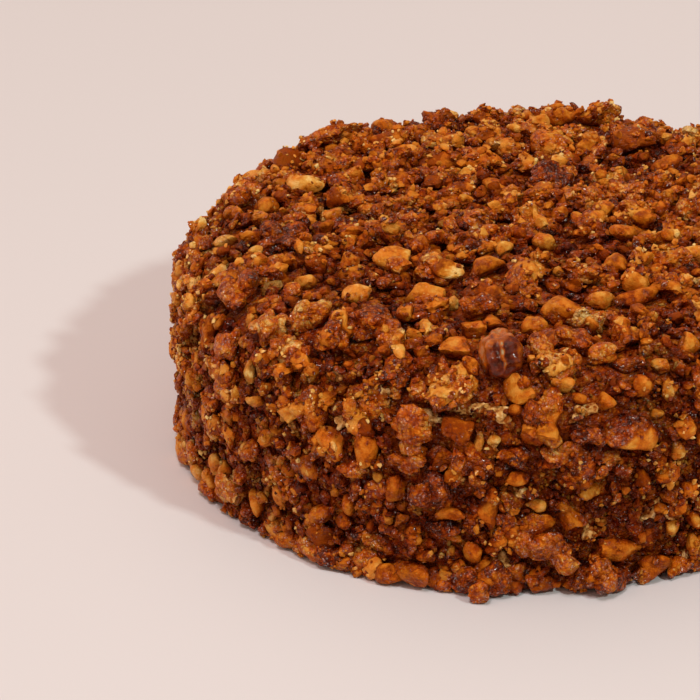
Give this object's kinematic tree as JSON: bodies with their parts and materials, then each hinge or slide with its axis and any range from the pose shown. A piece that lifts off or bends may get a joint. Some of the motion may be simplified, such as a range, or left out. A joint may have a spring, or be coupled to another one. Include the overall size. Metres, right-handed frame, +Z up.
{
  "type": "praline nut cake",
  "caption": "Whole round cake, uncut, its top and side pressed all over with lumps of caramelised nut praline; rests on a flat underside.",
  "frame": {"origin": "centre of the flat underside, on the cake's own upright axis", "axes": "+Z up; the side that faces the viewer is at -Y, and +X is to the viewer's right"},
  "size_m": [0.2, 0.204, 0.0698],
  "materials": {
    "praline": "crumbly caramelised nut praline, amber to dark brown, with glossy sugar glints",
    "golden_nut": "toasted nut flesh under a thin film of caramel",
    "dark_nut": "whole dark nut in hard glossy caramel"
  },
  "bodies": {
    "root": {"cake": "praline", "top_cluster": "praline", "edge_cluster": "praline", "edge_lump": "praline", "foot_cluster": "praline", "foot_lump": "praline", "side_flake": "golden_nut", "dark_nut": "dark_nut"}
  },
  "joints": []
}
